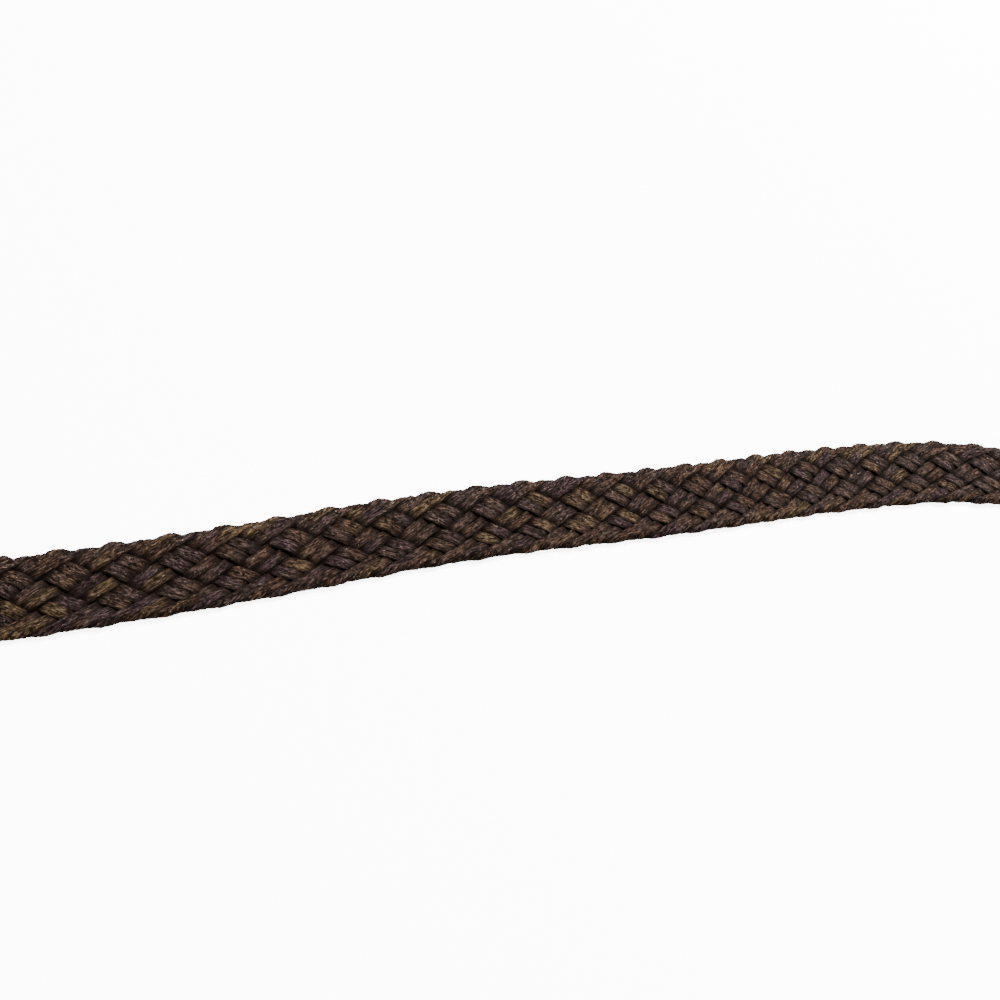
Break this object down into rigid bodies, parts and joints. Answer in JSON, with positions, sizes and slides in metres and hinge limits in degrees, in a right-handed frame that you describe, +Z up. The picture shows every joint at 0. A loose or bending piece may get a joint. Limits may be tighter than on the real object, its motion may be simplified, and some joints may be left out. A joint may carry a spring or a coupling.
{
  "type": "braided leather belt",
  "caption": "Braided leather belt laid open on its flat side: a flat plait of paired laces, a tab folded round a plain buckle, a keeper loop and a leather tip.",
  "frame": {"origin": "bottom centre of the bounding box, on the surface the belt lies on", "axes": "+X from the buckle towards the tip and the longest extent, +Z up out of the surface and the shortest extent"},
  "size_m": [1.0522, 0.2504, 0.0148],
  "materials": {
    "braid_leather": "worn dark brown lace leather, matte, with olive and reddish laces and lengthwise creases",
    "strap_leather": "smooth dark brown leather with stitched and darkened edges",
    "dull_brass": "dull antique brass, softly worn"
  },
  "bodies": {
    "root": {"braided_strap": "braid_leather", "buckle": "dull_brass", "buckle_tab": "strap_leather", "keeper_loop": "strap_leather", "belt_tip": "strap_leather"}
  },
  "joints": []
}
